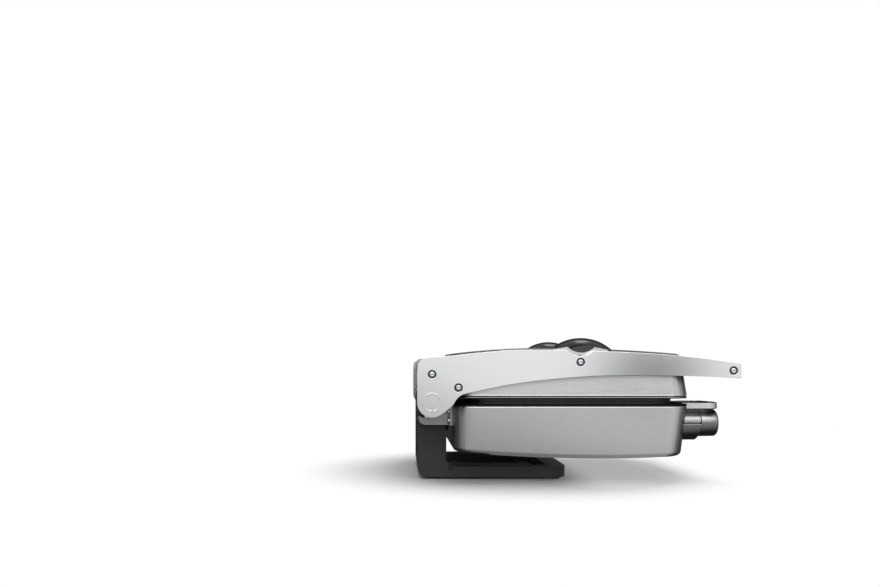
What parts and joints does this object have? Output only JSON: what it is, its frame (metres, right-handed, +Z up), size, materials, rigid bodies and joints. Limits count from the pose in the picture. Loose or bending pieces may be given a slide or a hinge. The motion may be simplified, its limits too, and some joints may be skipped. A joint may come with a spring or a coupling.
{
  "type": "rotating heart waffle maker",
  "caption": "Waffle maker with a round-cornered steel head that turns over on a low base, hinged lid on side arms, handle bar, thermostat knob and heart wells.",
  "frame": {"origin": "on the table, under the middle of the closed maker's box", "axes": "+X to the front, where the handle is; +Y across to the side away from the thermostat knob; +Z up. The head is closed and lies forward over the base."},
  "size_m": [0.361, 0.2876, 0.1565],
  "materials": {
    "base_paint": "satin charcoal paint",
    "rubber": "matte",
    "steel": "plain bright steel",
    "zinc": "dull zinc",
    "brushed": "brushed stainless",
    "arm_alu": "satin anodised",
    "bronze": "sintered bronze",
    "black_plastic": "satin black",
    "gloss_black": "gloss black",
    "plate_coat": "non-stick coating on cast aluminium",
    "reflector": "bright sheet",
    "white_plastic": "satin white",
    "lamp": "clear amber",
    "head_screw": "polished"
  },
  "bodies": {
    "base": {"base_frame": "base_paint", "base_pan": "base_paint", "base_pan_screws": "zinc", "base_side_screws": "zinc", "base_feet": "rubber", "hinge_shaft": "steel", "shaft_spacers": "steel", "stop_pins": "steel", "shaft_grub_screws": "zinc", "pivot_cap_left": "arm_alu", "pivot_cap_right": "arm_alu"},
    "knob": {"thermostat_knob": "black_plastic", "knob_pointer": "white_plastic", "thermostat_spindle": "steel"},
    "lid": {"lid_casing": "brushed", "lid_trim_frame": "black_plastic", "lid_baking_plate": "plate_coat", "lid_heater": "zinc", "lid_reflector": "reflector", "lid_thermal_fuse": "white_plastic", "lid_plate_posts": "zinc", "arm_left": "arm_alu", "arm_right": "arm_alu", "arm_bushes": "bronze", "handle_bar": "black_plastic", "arm_screws": "head_screw", "arm_washers": "black_plastic", "lid_foot_left": "gloss_black", "lid_foot_right": "gloss_black", "lid_bracket_left": "zinc", "lid_bracket_right": "zinc", "bracket_screws": "head_screw"},
    "lower_half": {"hinge_ear_left": "zinc", "hinge_ear_right": "zinc", "ear_bushes": "bronze", "ear_screws": "head_screw", "lower_casing": "brushed", "lower_trim_frame": "black_plastic", "lower_baking_plate": "plate_coat", "lower_heater": "zinc", "lower_reflector": "reflector", "lower_thermal_fuse": "white_plastic", "lower_plate_posts": "zinc", "lower_casing_screws": "head_screw", "terminal_block": "white_plastic", "thermostat": "zinc", "thermostat_collar": "black_plastic", "signal_lamps": "lamp", "cord_gland": "black_plastic", "gland_nut": "zinc", "underside_cover": "steel", "front_grip": "black_plastic", "front_grip_band": "arm_alu", "grip_screws": "zinc"}
  },
  "joints": [
    {"name": "head_turn", "type": "hinge", "parent": "base", "child": "lower_half", "pos_m": [-0.16476, 0, 0.0877], "axis": [0, -1, 0], "range_deg": [0, 180]},
    {"name": "lid_open", "type": "hinge", "parent": "lower_half", "child": "lid", "pos_m": [-0.16476, 0, 0.0877], "axis": [0, -1, 0], "range_deg": [0, 180]},
    {"name": "thermostat_turn", "type": "hinge", "parent": "lower_half", "child": "knob", "pos_m": [0.12524, -0.097, 0.0638], "axis": [1, 0, 0], "range_deg": [0, 270]}
  ]
}
